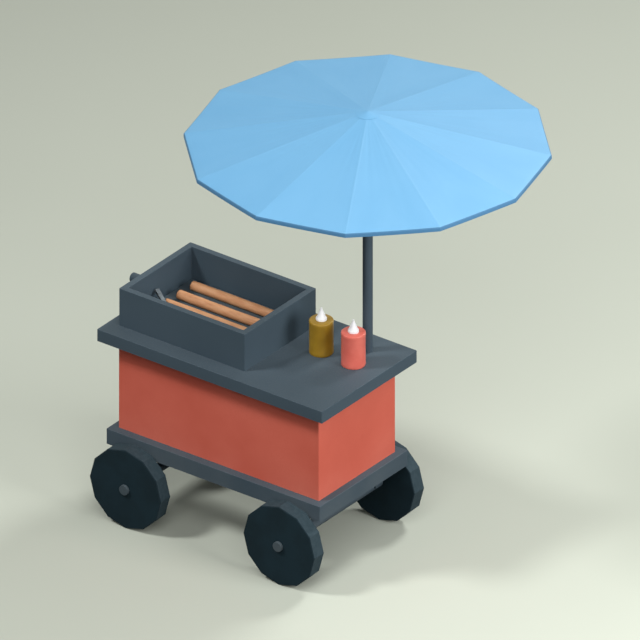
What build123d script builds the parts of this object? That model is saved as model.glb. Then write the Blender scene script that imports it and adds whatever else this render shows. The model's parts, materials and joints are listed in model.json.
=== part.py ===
from build123d import *
import os
from math import asin, atan2, cos, degrees, radians, sin

# Hot dog cart: a four-wheeled cabinet with a counter, a gas griddle box, two sauce bottles
# and a folding parasol. Millimetres, +Z up, the customers' side towards -Y.
os.makedirs("parts", exist_ok=True)

# Wheels and axles. A wheel is a twelve-sided solid block that stands on one corner.
SIDES = 12
WHEEL_R = 193.2
WHEEL_X = 416.8
WHEEL_FACE_Y = 396.8
TYRE_W = 71.8
TYRE_CHAMFER = 3.0
HUB_R = 20.0
HUB_PROUD = 1.0
AXLE_R = 22.5
SPINDLE_R = 12.5
CAP_R = 23.5
CAP_T = 12.6
CAP_GAP = 0.6
CAP_BORE = 8.0
CAP_ROUND = 1.8

# Chassis, an inverted steel tray with box cross members and saddles that stand on the axles.
CHASSIS_L = 1158.6
CHASSIS_W = 632.8
CHASSIS_Z = 330.7
DECK_Z = 405.1
DECK_T = 4.0
RAIL_T = 5.0
CROSS_W = 60.0
SADDLE_Y = 270.0
SADDLE_T = 16.0

# Outside radius of the folded upright corners, and of the edges round the top faces.
BEND_R = 4.0
EDGE_R = 2.0

# Cabinet, open at the back behind two doors. Its upper edge is set in under the counter.
CABINET_L = 1087.0
CABINET_W = 550.3
SHEET_T = 3.0
JOGGLE = 1.0
STILE_W = 45.0
RAIL_H = 30.0
DOOR_T = 18.0
DOOR_GAP = 0.6
DOOR_SKIN = 2.0
DOOR_Z0 = 412.0
DOOR_Z1 = 835.0
DOOR_MEET = 3.0
HINGE_IN = 26.0
KNUCKLE_R = 7.0
KNUCKLE_H = 18.0
PINTLE_R = 4.0
PINTLE_H = 42.0
HINGE_Z = (460.0, 730.0)
DOOR_EDGE = 9.0
PULL_R = 5.0
PULL_IN = 45.0
PULL_REACH = 34.0
PULL_Z = (580.0, 720.0)
PULL_BEND = 14.0

# Counter, an inverted tray that lies on the cabinet's upper edge.
COUNTER_L = 1221.3
COUNTER_W = 684.9
COUNTER_LOW_Z = 842.1
COUNTER_Z = 900.0
COUNTER_SKIN = 4.0
COUNTER_LIP = 25.0

# Griddle box: an outer casing with a flat rim, a liner inside it, and a loose plate that lies
# on the burner tray's upturned edge.
BOX_X0 = -555.4
BOX_X1 = 127.6
BOX_W = 514.0
BOX_H = 183.6
BOX_WALL = 30.2
PLATE_Z = 924.6
PLATE_T = 10.0
PLATE_GAP = 1.5
TRAY_L = 556.0
TRAY_W = 388.0
TRAY_FLANGE = 20.0
TRAY_Z = 812.0
TRAY_T = 2.0

# Gas: burner in the tray, valve behind the counter's rear skirt, cylinder in the cabinet.
GAS_Z = 871.0
BURNER_R = 14.0
BURNER_L = 460.0
BURNER_Y = 95.0
BURNER_FOOT = 12.0
INLET_R = 8.0
VALVE_SIZE = 34.0
VALVE_Y0 = 298.0
VALVE_Y1 = 334.0
STEM_R = 4.0
STEM_END_Y = 362.0
KNOB_R = 21.0
KNOB_Y0 = 345.0
KNOB_Y1 = 357.0
KNOB_GRIP_Y = 369.0
KNOB_GRIP_W = 9.0
KNOB_BORE = 18.5
PIPE_R = 5.0
PIPE_BEND = 18.0
CYLINDER_R = 115.0
CYLINDER_H = 320.0
CYLINDER_ROUND = 45.0
CYLINDER_X = -400.0
CYLINDER_Y = 90.0
FOOT_RING_R = 85.0
FOOT_RING_H = 14.0
NECK_R = 20.0
NECK_H = 40.0
PIPE_Y = 236.0
PIPE_LOW_Z = 792.0

# Food, bottles and tongs, as large beside the cart as they are seen to be.
SAUSAGE_R = 21.5
SAUSAGE_L = 512.0
SAUSAGE_END = 8.0
SAUSAGE_Y = (151.0, 54.0, -43.0)
BOTTLE_R = 54.0
BOTTLE_H = 162.0
BOTTLE_ROUND = 5.0
BOTTLES = {"mustard": (288.0, 81.5), "ketchup": (463.5, 79.5)}
NECK_SCREW_R = 15.0
NECK_SCREW_H = 18.0
NOZZLE_R = 24.4
NOZZLE_H = 58.0
NOZZLE_TIP_R = 4.0
TONGS_HEAD = (-514.0, -37.6)
TONGS_DIR = (0.83, -0.47, -0.28)
TONGS_L = 210.0
TONGS_R = 6.5
TONGS_T = 2.0
TONGS_W = 18.0
TONGS_REST = 0.4

# End handle, a round grip that stands out from the griddle box's end wall.
HANDLE_R = 22.5
HANDLE_Z = 983.0
HANDLE_REACH = 121.9
HANDLE_ROUND = 4.0
HANDLE_FOOT_R = 40.0
HANDLE_FOOT_T = 4.0

# Parasol: mast in a socket, crown, sliding runner, twelve ribs and struts, and the cover.
MAST_X = 439.1
MAST_Y = 214.9
MAST_R = 22.5
MAST_WALL = 3.0
SOCKET_R = 28.0
SOCKET_FOOT_R = 50.0
SOCKET_FLOOR = 8.0
CANOPY_R = 804.1
CANOPY_RIM_Z = 1924.5
CANOPY_APEX_Z = 2088.1
CANOPY_BAND = 18.7
CANOPY_T = 2.5
APEX_R = 2.0
PIVOT_R = 40.0
CROWN_R = 46.0
CROWN_PIVOT_Z = 2071.0
CROWN_Z0 = 2057.0
CROWN_Z1 = 2075.0
MAST_TOP_Z = 2069.0
SLOT_W = 6.6
SLOT_R0 = 33.0
EYE_R = 5.5
PIN_R = 2.0
RIB_W = 6.0
RIB_H = 9.0
RIB_TIP_R = 790.0
LUG_DROP = 13.0
LUG_ARM = 400.0
LUG_R = 5.0
LUG_T = 4.0
STRUT_H = 8.0
FORK_W = 10.0
FORK_L = 22.0
FORK_SLOT_W = 4.5
FORK_SLOT_R = 7.0
RUNNER_SLEEVE_R = 28.0
RUNNER_GAP = 0.3
RUNNER_RING_H = 16.0
RUNNER_SKIRT = 60.0
RUNNER_KNOB_DROP = 38.0
RUNNER_KNOB_ANGLE = 105.0
SCREW_R = 4.0
SCREW_R0 = 24.0
SCREW_HEAD_R0 = 52.0
SCREW_HEAD_R1 = 70.0
SCREW_HEAD_R = 10.0

# Clearances: a turning or sliding fit, and a seat that doesn't move.
RUN = 0.05
SEAT = 0.05

# The frame's origin is on the floor, in the middle of the object's box, which reaches
# from the end handle to the parasol's far corner. The cart's centre lies off it.
REACH_X0 = BOX_X0 - HANDLE_REACH
REACH_X1 = MAST_X + CANOPY_R
CART_X = -(REACH_X0 + REACH_X1) / 2
CART_Y = -MAST_Y

BOX_X = (BOX_X0 + BOX_X1) / 2
BOX_L = BOX_X1 - BOX_X0
WELL_L = BOX_L - 2 * BOX_WALL
WELL_W = BOX_W - 2 * BOX_WALL
PLATE_BOTTOM_Z = PLATE_Z - PLATE_T
BACK_Y = CABINET_W / 2
HINGE_X = CABINET_L / 2 - HINGE_IN
HINGE_Y = BACK_Y + DOOR_GAP + DOOR_T
WHEEL_Y = WHEEL_FACE_Y - TYRE_W / 2
HUB_Y0 = WHEEL_FACE_Y - TYRE_W - HUB_PROUD
SLOPE = degrees(atan2(CANOPY_APEX_Z - CANOPY_RIM_Z, CANOPY_R))
STRUT_SLOPE = SLOPE + degrees(asin(LUG_DROP / LUG_ARM))
RUNNER_Z = CROWN_PIVOT_Z - 2 * LUG_ARM * sin(radians(STRUT_SLOPE))


def point(x, y, z):
    """A point measured from the cart's centre on the floor."""
    return (CART_X + x, CART_Y + y, z)


def level(x, y, z):
    """A level plane through such a point, facing up."""
    return Plane(origin=point(x, y, z))


def upright(x, y, z):
    """An upright plane along the cart: sketch x along +X, sketch y up, facing -Y."""
    return Plane(origin=point(x, y, z), x_dir=(1, 0, 0), z_dir=(0, -1, 0))


def endways(x, y, z):
    """An upright plane across the cart: sketch x along +Y, sketch y up, facing +X."""
    return Plane(origin=point(x, y, z), x_dir=(0, 1, 0), z_dir=(1, 0, 0))


def on_arm(angle, radius, z, along, up):
    """An upright plane through the mast's axis at that angle, its sketch x turned to (along, up)."""
    out_x = cos(radians(angle))
    out_y = sin(radians(angle))
    origin = point(MAST_X + radius * out_x, MAST_Y + radius * out_y, z)
    return Plane(origin=origin, x_dir=(along * out_x, along * out_y, up), z_dir=(out_y, -out_x, 0))


def save(piece, name):
    """Labels a finished piece and writes it under its name."""
    piece.label = name
    export_step(piece, f"parts/{name}.step")


# Chassis: inverted tray, cross members over the axles, and a pair of saddles under each.
with BuildPart() as chassis_frame:
    with BuildSketch(level(0, 0, CHASSIS_Z)):
        RectangleRounded(CHASSIS_L, CHASSIS_W, BEND_R)
    extrude(amount=DECK_Z - CHASSIS_Z)
    fillet(chassis_frame.faces().sort_by(Axis.Z)[-1].edges(), radius=EDGE_R)
    with BuildSketch(level(0, 0, CHASSIS_Z)):
        Rectangle(CHASSIS_L - 2 * RAIL_T, CHASSIS_W - 2 * RAIL_T)
    extrude(amount=DECK_Z - DECK_T - CHASSIS_Z, mode=Mode.SUBTRACT)
    for side in (-1, 1):
        with BuildSketch(upright(side * WHEEL_X, 0, (CHASSIS_Z + DECK_Z - DECK_T) / 2)):
            Rectangle(CROSS_W, DECK_Z - DECK_T - CHASSIS_Z)
            Rectangle(CROSS_W - 2 * RAIL_T, DECK_Z - DECK_T - CHASSIS_Z - 2 * RAIL_T, mode=Mode.SUBTRACT)
        extrude(amount=CHASSIS_W / 2 - RAIL_T, both=True)
        for end in (-1, 1):
            with BuildSketch(upright(side * WHEEL_X, end * SADDLE_Y, (WHEEL_R + CHASSIS_Z + RAIL_T) / 2)):
                Rectangle(CROSS_W, CHASSIS_Z + RAIL_T - WHEEL_R)
            extrude(amount=SADDLE_T / 2, both=True)
        with BuildSketch(upright(side * WHEEL_X, 0, WHEEL_R)):
            Circle(AXLE_R + SEAT)
        extrude(amount=CHASSIS_W / 2, both=True, mode=Mode.SUBTRACT)
save(chassis_frame.part, "chassis_frame")

# Axles: a thick bar between the wheels, turned down to a spindle at each end.
with BuildPart() as axles:
    for side in (-1, 1):
        with BuildSketch(upright(side * WHEEL_X, 0, WHEEL_R)):
            Circle(AXLE_R)
        extrude(amount=HUB_Y0 - CAP_GAP, both=True)
        with BuildSketch(upright(side * WHEEL_X, 0, WHEEL_R)):
            Circle(SPINDLE_R)
        extrude(amount=WHEEL_FACE_Y + CAP_GAP + CAP_BORE, both=True)
save(axles.part, "axles")

# End caps on the axles.
with BuildPart() as axle_end_caps:
    for side in (-1, 1):
        for end in (-1, 1):
            with BuildSketch(upright(side * WHEEL_X, end * (WHEEL_FACE_Y + CAP_GAP + CAP_T / 2), WHEEL_R)):
                Circle(CAP_R)
            extrude(amount=CAP_T / 2, both=True)
    rims = axle_end_caps.faces().filter_by(Axis.Y).sort_by(Axis.Y)
    fillet([rim.edge() for rim in rims[:2] + rims[-2:]], radius=CAP_ROUND)
    for side in (-1, 1):
        with BuildSketch(upright(side * WHEEL_X, 0, WHEEL_R)):
            Circle(SPINDLE_R + SEAT)
        extrude(amount=WHEEL_FACE_Y + CAP_GAP + CAP_BORE, both=True, mode=Mode.SUBTRACT)
save(axle_end_caps.part, "axle_end_caps")

# Wheels: a twelve-sided tyre block and the bush that runs on the axle's spindle.
WHEELS = {
    "front_left": (-1, -1), "front_right": (1, -1), "rear_left": (-1, 1), "rear_right": (1, 1),
}
for place, (side, end) in WHEELS.items():
    with BuildPart() as tyre:
        with BuildSketch(upright(side * WHEEL_X, end * WHEEL_Y, WHEEL_R)):
            RegularPolygon(WHEEL_R, SIDES)
        extrude(amount=TYRE_W / 2, both=True)
        chamfer(tyre.faces().filter_by(Axis.Y).edges(), length=TYRE_CHAMFER)
        with BuildSketch(upright(side * WHEEL_X, end * WHEEL_Y, WHEEL_R)):
            Circle(HUB_R + SEAT)
        extrude(amount=TYRE_W, both=True, mode=Mode.SUBTRACT)
    save(tyre.part, f"tyre_{place}")

    with BuildPart() as hub:
        with BuildSketch(upright(side * WHEEL_X, end * (HUB_Y0 + WHEEL_FACE_Y) / 2, WHEEL_R)):
            Circle(HUB_R)
        extrude(amount=(WHEEL_FACE_Y - HUB_Y0) / 2, both=True)
        with BuildSketch(upright(side * WHEEL_X, end * WHEEL_Y, WHEEL_R)):
            Circle(SPINDLE_R + RUN)
        extrude(amount=TYRE_W, both=True, mode=Mode.SUBTRACT)
    save(hub.part, f"hub_{place}")

# Cabinet shell: four folded walls, a door opening and pipe holes at the back, and the doors' pintles.
with BuildPart() as cabinet_shell:
    with BuildSketch(level(0, 0, DECK_Z)):
        RectangleRounded(CABINET_L, CABINET_W, BEND_R)
    extrude(amount=COUNTER_LOW_Z - DECK_Z)
    with BuildSketch(level(0, 0, COUNTER_LOW_Z)):
        RectangleRounded(CABINET_L - 2 * JOGGLE, CABINET_W - 2 * JOGGLE, BEND_R - JOGGLE)
    extrude(amount=COUNTER_Z - COUNTER_SKIN - COUNTER_LOW_Z)
    with BuildSketch(level(0, 0, DECK_Z)):
        Rectangle(CABINET_L - 2 * SHEET_T, CABINET_W - 2 * SHEET_T)
    extrude(amount=COUNTER_Z - DECK_Z, mode=Mode.SUBTRACT)
    with BuildSketch(upright(0, BACK_Y, (DECK_Z + COUNTER_LOW_Z) / 2)):
        Rectangle(CABINET_L - 2 * STILE_W, COUNTER_LOW_Z - DECK_Z - 2 * RAIL_H)
    extrude(amount=2 * SHEET_T, both=True, mode=Mode.SUBTRACT)
    with BuildSketch(upright(0, BACK_Y, GAS_Z)):
        with Locations((BOX_X, 0)):
            Circle(INLET_R + SHEET_T)
        with Locations((CYLINDER_X, 0)):
            Circle(PIPE_R + SHEET_T)
    extrude(amount=2 * SHEET_T, mode=Mode.SUBTRACT)
    for side in (-1, 1):
        for z in HINGE_Z:
            with BuildSketch(level(side * HINGE_X, HINGE_Y, z)):
                Circle(KNUCKLE_R)
                with Locations((0, -(HINGE_Y - BACK_Y + SHEET_T) / 2)):
                    Rectangle(2 * KNUCKLE_R, HINGE_Y - BACK_Y + SHEET_T)
            extrude(amount=KNUCKLE_H)
            with BuildSketch(level(side * HINGE_X, HINGE_Y, z + KNUCKLE_H)):
                Circle(PINTLE_R)
            extrude(amount=PINTLE_H)
save(cabinet_shell.part, "cabinet_shell")

# Doors: folded pans that lie over the back, lifted onto the pintles, each with a bar pull.
root_y = HINGE_Y - DOOR_SKIN / 2
bar_y = HINGE_Y + PULL_REACH
for side, name in ((-1, "door_left"), (1, "door_right")):
    edge_x = HINGE_X - DOOR_EDGE
    door_l = edge_x - DOOR_MEET / 2
    middle = side * (edge_x + DOOR_MEET / 2) / 2
    pull_x = side * PULL_IN
    with BuildPart() as door:
        with BuildSketch(upright(middle, HINGE_Y, (DOOR_Z0 + DOOR_Z1) / 2)):
            Rectangle(door_l, DOOR_Z1 - DOOR_Z0)
        extrude(amount=DOOR_T)
        with BuildSketch(upright(middle, HINGE_Y - DOOR_SKIN, (DOOR_Z0 + DOOR_Z1) / 2)):
            Rectangle(door_l - 2 * DOOR_SKIN, DOOR_Z1 - DOOR_Z0 - 2 * DOOR_SKIN)
        extrude(amount=DOOR_T, mode=Mode.SUBTRACT)
        for z in HINGE_Z:
            knuckle_z = z + KNUCKLE_H + CAP_GAP
            with BuildSketch(level(side * HINGE_X, HINGE_Y, knuckle_z)):
                Circle(KNUCKLE_R)
                with Locations((-side * DOOR_EDGE / 2, -KNUCKLE_R / 2)):
                    Rectangle(DOOR_EDGE + DOOR_SKIN, KNUCKLE_R)
            extrude(amount=PINTLE_H)
            with BuildSketch(level(side * HINGE_X, HINGE_Y, knuckle_z)):
                Circle(PINTLE_R + RUN)
            extrude(amount=PINTLE_H, mode=Mode.SUBTRACT)
        with BuildLine():
            FilletPolyline(
                point(pull_x, root_y, PULL_Z[0]), point(pull_x, bar_y, PULL_Z[0]),
                point(pull_x, bar_y, PULL_Z[1]), point(pull_x, root_y, PULL_Z[1]), radius=PULL_BEND,
            )
        with BuildSketch(upright(pull_x, root_y, PULL_Z[0])):
            Circle(PULL_R)
        sweep()
    save(door.part, name)

# Counter: inverted tray with a turned-in lip, a burner cut-out, and holes for mast and valve stem.
with BuildPart() as counter_top:
    with BuildSketch(level(0, 0, COUNTER_LOW_Z)):
        RectangleRounded(COUNTER_L, COUNTER_W, BEND_R)
    extrude(amount=COUNTER_Z - COUNTER_LOW_Z)
    fillet(counter_top.faces().sort_by(Axis.Z)[-1].edges(), radius=EDGE_R)
    with BuildSketch(level(0, 0, COUNTER_LOW_Z + SHEET_T)):
        Rectangle(COUNTER_L - 2 * SHEET_T, COUNTER_W - 2 * SHEET_T)
    extrude(amount=COUNTER_Z - COUNTER_SKIN - COUNTER_LOW_Z - SHEET_T, mode=Mode.SUBTRACT)
    with BuildSketch(level(0, 0, COUNTER_LOW_Z)):
        Rectangle(COUNTER_L - 2 * COUNTER_LIP, COUNTER_W - 2 * COUNTER_LIP)
    extrude(amount=SHEET_T, mode=Mode.SUBTRACT)
    with BuildSketch(level(BOX_X, 0, COUNTER_Z)):
        Rectangle(TRAY_L + 2 * TRAY_T, TRAY_W + 2 * TRAY_T)
    extrude(amount=-2 * COUNTER_SKIN, mode=Mode.SUBTRACT)
    with BuildSketch(level(MAST_X, MAST_Y, COUNTER_Z)):
        Circle(MAST_R + 10 * RUN)
    extrude(amount=-2 * COUNTER_SKIN, mode=Mode.SUBTRACT)
    with BuildSketch(upright(BOX_X, COUNTER_W / 2, GAS_Z)):
        Circle(2 * STEM_R)
    extrude(amount=2 * SHEET_T, mode=Mode.SUBTRACT)
save(counter_top.part, "counter_top")

# Griddle box: the outer casing, open underneath, with its flat rim round the well.
with BuildPart() as grill_box:
    with BuildSketch(level(BOX_X, 0, COUNTER_Z)):
        RectangleRounded(BOX_L, BOX_W, BEND_R)
        Rectangle(WELL_L, WELL_W, mode=Mode.SUBTRACT)
    extrude(amount=BOX_H)
    fillet(grill_box.faces().sort_by(Axis.Z)[-1].edges(), radius=EDGE_R)
    with BuildSketch(level(BOX_X, 0, COUNTER_Z)):
        Rectangle(BOX_L - 2 * SHEET_T, BOX_W - 2 * SHEET_T)
    extrude(amount=BOX_H - SHEET_T, mode=Mode.SUBTRACT)
save(grill_box.part, "grill_box")

# Liner, the well's inner walls, standing on the counter under the casing's rim.
with BuildPart() as grill_liner:
    with BuildSketch(level(BOX_X, 0, COUNTER_Z)):
        Rectangle(WELL_L + 2 * SHEET_T, WELL_W + 2 * SHEET_T)
        Rectangle(WELL_L, WELL_W, mode=Mode.SUBTRACT)
    extrude(amount=BOX_H - SHEET_T)
save(grill_liner.part, "grill_liner")

# Griddle plate, loose on the burner tray's edge.
with BuildPart() as griddle_plate:
    with BuildSketch(level(BOX_X, 0, PLATE_BOTTOM_Z)):
        Rectangle(WELL_L - 2 * PLATE_GAP, WELL_W - 2 * PLATE_GAP)
    extrude(amount=PLATE_T)
    chamfer(griddle_plate.faces().sort_by(Axis.Z)[-1].edges(), length=EDGE_R / 2)
save(griddle_plate.part, "griddle_plate")

# Burner tray, hung by its flange in the counter's cut-out, with an upturned edge under the plate.
with BuildPart() as burner_tray:
    with BuildSketch(level(BOX_X, 0, COUNTER_Z)):
        Rectangle(TRAY_L + 2 * TRAY_FLANGE, TRAY_W + 2 * TRAY_FLANGE)
    extrude(amount=PLATE_BOTTOM_Z - COUNTER_Z)
    with BuildSketch(level(BOX_X, 0, COUNTER_Z + TRAY_T)):
        Rectangle(TRAY_L + 2 * (TRAY_FLANGE - TRAY_T), TRAY_W + 2 * (TRAY_FLANGE - TRAY_T))
    extrude(amount=PLATE_BOTTOM_Z - COUNTER_Z - TRAY_T, mode=Mode.SUBTRACT)
    with BuildSketch(level(BOX_X, 0, TRAY_Z)):
        Rectangle(TRAY_L, TRAY_W)
    extrude(amount=COUNTER_Z - TRAY_Z)
    with BuildSketch(level(BOX_X, 0, TRAY_Z + TRAY_T)):
        Rectangle(TRAY_L - 2 * TRAY_T, TRAY_W - 2 * TRAY_T)
    extrude(amount=COUNTER_Z - TRAY_Z, mode=Mode.SUBTRACT)
    with BuildSketch(upright(BOX_X, TRAY_W / 2, GAS_Z)):
        Circle(INLET_R + 10 * SEAT)
    extrude(amount=2 * TRAY_T, both=True, mode=Mode.SUBTRACT)
save(burner_tray.part, "burner_tray")

# Burner: two bar tubes on feet, a cross tube, and the inlet that runs back to the valve.
with BuildPart() as burner:
    for side in (-1, 1):
        with BuildSketch(endways(BOX_X, side * BURNER_Y, GAS_Z)):
            Circle(BURNER_R)
        extrude(amount=BURNER_L / 2, both=True)
        for end in (-1, 1):
            with BuildSketch(level(BOX_X + end * BURNER_L / 3, side * BURNER_Y, TRAY_Z + TRAY_T)):
                Rectangle(BURNER_FOOT, BURNER_R)
            extrude(amount=GAS_Z - TRAY_Z - TRAY_T)
    with BuildSketch(upright(BOX_X, 0, GAS_Z)):
        Circle(BURNER_R)
    extrude(amount=BURNER_Y, both=True)
    with BuildSketch(upright(BOX_X, VALVE_Y0, GAS_Z)):
        Circle(INLET_R)
    extrude(amount=VALVE_Y0 - BURNER_Y)
save(burner.part, "burner")

# Gas cylinder: foot ring, rounded bottle and neck with its valve.
with BuildPart() as gas_cylinder:
    with BuildSketch(level(CYLINDER_X, CYLINDER_Y, DECK_Z + FOOT_RING_H)):
        Circle(CYLINDER_R)
    extrude(amount=CYLINDER_H - FOOT_RING_H)
    fillet(gas_cylinder.edges(), radius=CYLINDER_ROUND)
    with BuildSketch(level(CYLINDER_X, CYLINDER_Y, DECK_Z)):
        Circle(FOOT_RING_R)
        Circle(FOOT_RING_R - SHEET_T, mode=Mode.SUBTRACT)
    extrude(amount=CYLINDER_ROUND)
    with BuildSketch(level(CYLINDER_X, CYLINDER_Y, DECK_Z + CYLINDER_H - SHEET_T)):
        Circle(NECK_R)
    extrude(amount=NECK_H)
save(gas_cylinder.part, "gas_cylinder")

# Gas pipe, a rigid tube from the cylinder's neck round the tray to the valve, and the valve
# brazed to its end, whose stem passes through the counter's rear skirt.
neck_top_z = DECK_Z + CYLINDER_H - SHEET_T + NECK_H
valve_y = (VALVE_Y0 + VALVE_Y1) / 2
with BuildPart() as gas_valve_and_pipe:
    with BuildLine():
        FilletPolyline(
            point(CYLINDER_X, CYLINDER_Y, neck_top_z), point(CYLINDER_X, CYLINDER_Y, PIPE_LOW_Z),
            point(CYLINDER_X, PIPE_Y, PIPE_LOW_Z), point(CYLINDER_X, PIPE_Y, GAS_Z),
            point(CYLINDER_X, valve_y, GAS_Z), point(BOX_X, valve_y, GAS_Z), radius=PIPE_BEND,
        )
    with BuildSketch(level(CYLINDER_X, CYLINDER_Y, neck_top_z)):
        Circle(PIPE_R)
    sweep()
    with BuildSketch(upright(BOX_X, VALVE_Y1, GAS_Z)):
        RectangleRounded(VALVE_SIZE, VALVE_SIZE, PIPE_R)
    extrude(amount=VALVE_Y1 - VALVE_Y0)
    with BuildSketch(upright(BOX_X, STEM_END_Y, GAS_Z)):
        Circle(STEM_R)
    extrude(amount=STEM_END_Y - valve_y)
save(gas_valve_and_pipe.part, "gas_valve_and_pipe")

# Control knob: a disc with a raised grip, turning on the valve's stem.
with BuildPart() as control_knob:
    with BuildSketch(upright(BOX_X, KNOB_Y1, GAS_Z)):
        Circle(KNOB_R)
    extrude(amount=KNOB_Y1 - KNOB_Y0)
    fillet(control_knob.faces().sort_by(Axis.Y)[-1].edges(), radius=EDGE_R)
    with BuildSketch(upright(BOX_X, KNOB_GRIP_Y, GAS_Z)):
        RectangleRounded(KNOB_GRIP_W, 2 * (KNOB_R - EDGE_R), KNOB_GRIP_W / 3)
    extrude(amount=KNOB_GRIP_Y - KNOB_Y0)
    with BuildSketch(upright(BOX_X, KNOB_Y0 + KNOB_BORE, GAS_Z)):
        Circle(STEM_R + RUN)
    extrude(amount=KNOB_BORE, mode=Mode.SUBTRACT)
save(control_knob.part, "control_knob")

# End handle: a round grip with a flange against the griddle box's end wall.
with BuildPart() as end_handle:
    with BuildSketch(endways(BOX_X0, 0, HANDLE_Z)):
        Circle(HANDLE_R)
    extrude(amount=-HANDLE_REACH)
    fillet(end_handle.faces().sort_by(Axis.X)[0].edges(), radius=HANDLE_ROUND)
    with BuildSketch(endways(BOX_X0, 0, HANDLE_Z)):
        Circle(HANDLE_FOOT_R)
    extrude(amount=-HANDLE_FOOT_T)
save(end_handle.part, "end_handle")

# Sausages on the plate.
with BuildPart() as sausages:
    for y in SAUSAGE_Y:
        with BuildSketch(endways(BOX_X, y, PLATE_Z + SAUSAGE_R)):
            Circle(SAUSAGE_R)
        extrude(amount=SAUSAGE_L / 2, both=True)
    fillet(sausages.edges().filter_by(GeomType.CIRCLE), radius=SAUSAGE_END)
save(sausages.part, "sausages")

# Tongs: one bent strip, its bow against the end wall and the lower arm's tip on the plate.
along = Vector(*TONGS_DIR).normalized()
across = Vector(0, 0, 1).cross(along).normalized()
tongs_z = PLATE_Z + TONGS_REST - along.Z * TONGS_L + along.cross(across).Z * TONGS_R
tongs_plane = Plane(origin=point(*TONGS_HEAD, tongs_z), x_dir=along, z_dir=across)
with BuildPart() as tongs:
    with BuildSketch(tongs_plane):
        Circle(TONGS_R)
        Rectangle(TONGS_L, 2 * TONGS_R, align=(Align.MIN, Align.CENTER))
        Circle(TONGS_R - TONGS_T, mode=Mode.SUBTRACT)
        Rectangle(
            TONGS_L, 2 * (TONGS_R - TONGS_T), align=(Align.MIN, Align.CENTER), mode=Mode.SUBTRACT
        )
    extrude(amount=TONGS_W / 2, both=True)
save(tongs.part, "tongs")

# Sauce bottles: a round body with a screw neck, and a cone nozzle that turns on the neck.
for sauce, (x, y) in BOTTLES.items():
    with BuildPart() as bottle:
        with BuildSketch(level(x, y, COUNTER_Z)):
            Circle(BOTTLE_R)
        extrude(amount=BOTTLE_H)
        fillet(bottle.edges().filter_by(GeomType.CIRCLE), radius=BOTTLE_ROUND)
        with BuildSketch(level(x, y, COUNTER_Z + BOTTLE_H - SHEET_T)):
            Circle(NECK_SCREW_R)
        extrude(amount=NECK_SCREW_H + SHEET_T)
    save(bottle.part, f"{sauce}_bottle")

    nozzle_z = COUNTER_Z + BOTTLE_H + CAP_GAP / 2
    with BuildPart() as nozzle:
        with BuildSketch(level(x, y, nozzle_z)):
            Circle(NOZZLE_R)
        with BuildSketch(level(x, y, nozzle_z + NOZZLE_H)):
            Circle(NOZZLE_TIP_R)
        loft()
        with BuildSketch(level(x, y, nozzle_z)):
            Circle(NECK_SCREW_R + RUN)
        extrude(amount=NECK_SCREW_H, mode=Mode.SUBTRACT)
    save(nozzle.part, f"{sauce}_nozzle")

# Mast socket, a tube from the deck to the counter with a floor that carries the mast.
with BuildPart() as mast_socket:
    with BuildSketch(level(MAST_X, MAST_Y, DECK_Z)):
        Circle(SOCKET_FOOT_R)
    extrude(amount=SOCKET_FLOOR)
    with BuildSketch(level(MAST_X, MAST_Y, DECK_Z + SOCKET_FLOOR)):
        Circle(SOCKET_R)
        Circle(MAST_R + RUN, mode=Mode.SUBTRACT)
    extrude(amount=COUNTER_Z - COUNTER_SKIN - DECK_Z - SOCKET_FLOOR)
save(mast_socket.part, "mast_socket")

# Mast tube.
with BuildPart() as mast:
    with BuildSketch(level(MAST_X, MAST_Y, DECK_Z + SOCKET_FLOOR)):
        Circle(MAST_R)
        Circle(MAST_R - MAST_WALL, mode=Mode.SUBTRACT)
    extrude(amount=MAST_TOP_Z - DECK_Z - SOCKET_FLOOR)
save(mast.part, "mast")

# Crown: a cap on the mast with a slot and a cross pin for each rib.
rib_angles = [side * 360 / SIDES for side in range(SIDES)]
with BuildPart() as crown:
    with BuildSketch(level(MAST_X, MAST_Y, CROWN_Z0)):
        Circle(CROWN_R)
    extrude(amount=CROWN_Z1 - CROWN_Z0)
    with BuildSketch(level(MAST_X, MAST_Y, CROWN_Z0)):
        Circle(MAST_R + SEAT)
    extrude(amount=MAST_TOP_Z - CROWN_Z0, mode=Mode.SUBTRACT)
    with BuildSketch(level(MAST_X, MAST_Y, CROWN_Z0)):
        with PolarLocations(0, SIDES):
            with Locations((SLOT_R0, 0)):
                Rectangle(CROWN_R, SLOT_W, align=(Align.MIN, Align.CENTER))
    extrude(amount=CROWN_Z1 - CROWN_Z0, mode=Mode.SUBTRACT)
    for angle in rib_angles:
        with BuildSketch(on_arm(angle, PIVOT_R, CROWN_PIVOT_Z, 1, 0)):
            Circle(PIN_R)
        extrude(amount=SLOT_W / 2 + PIN_R, both=True)
save(crown.part, "crown")

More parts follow.
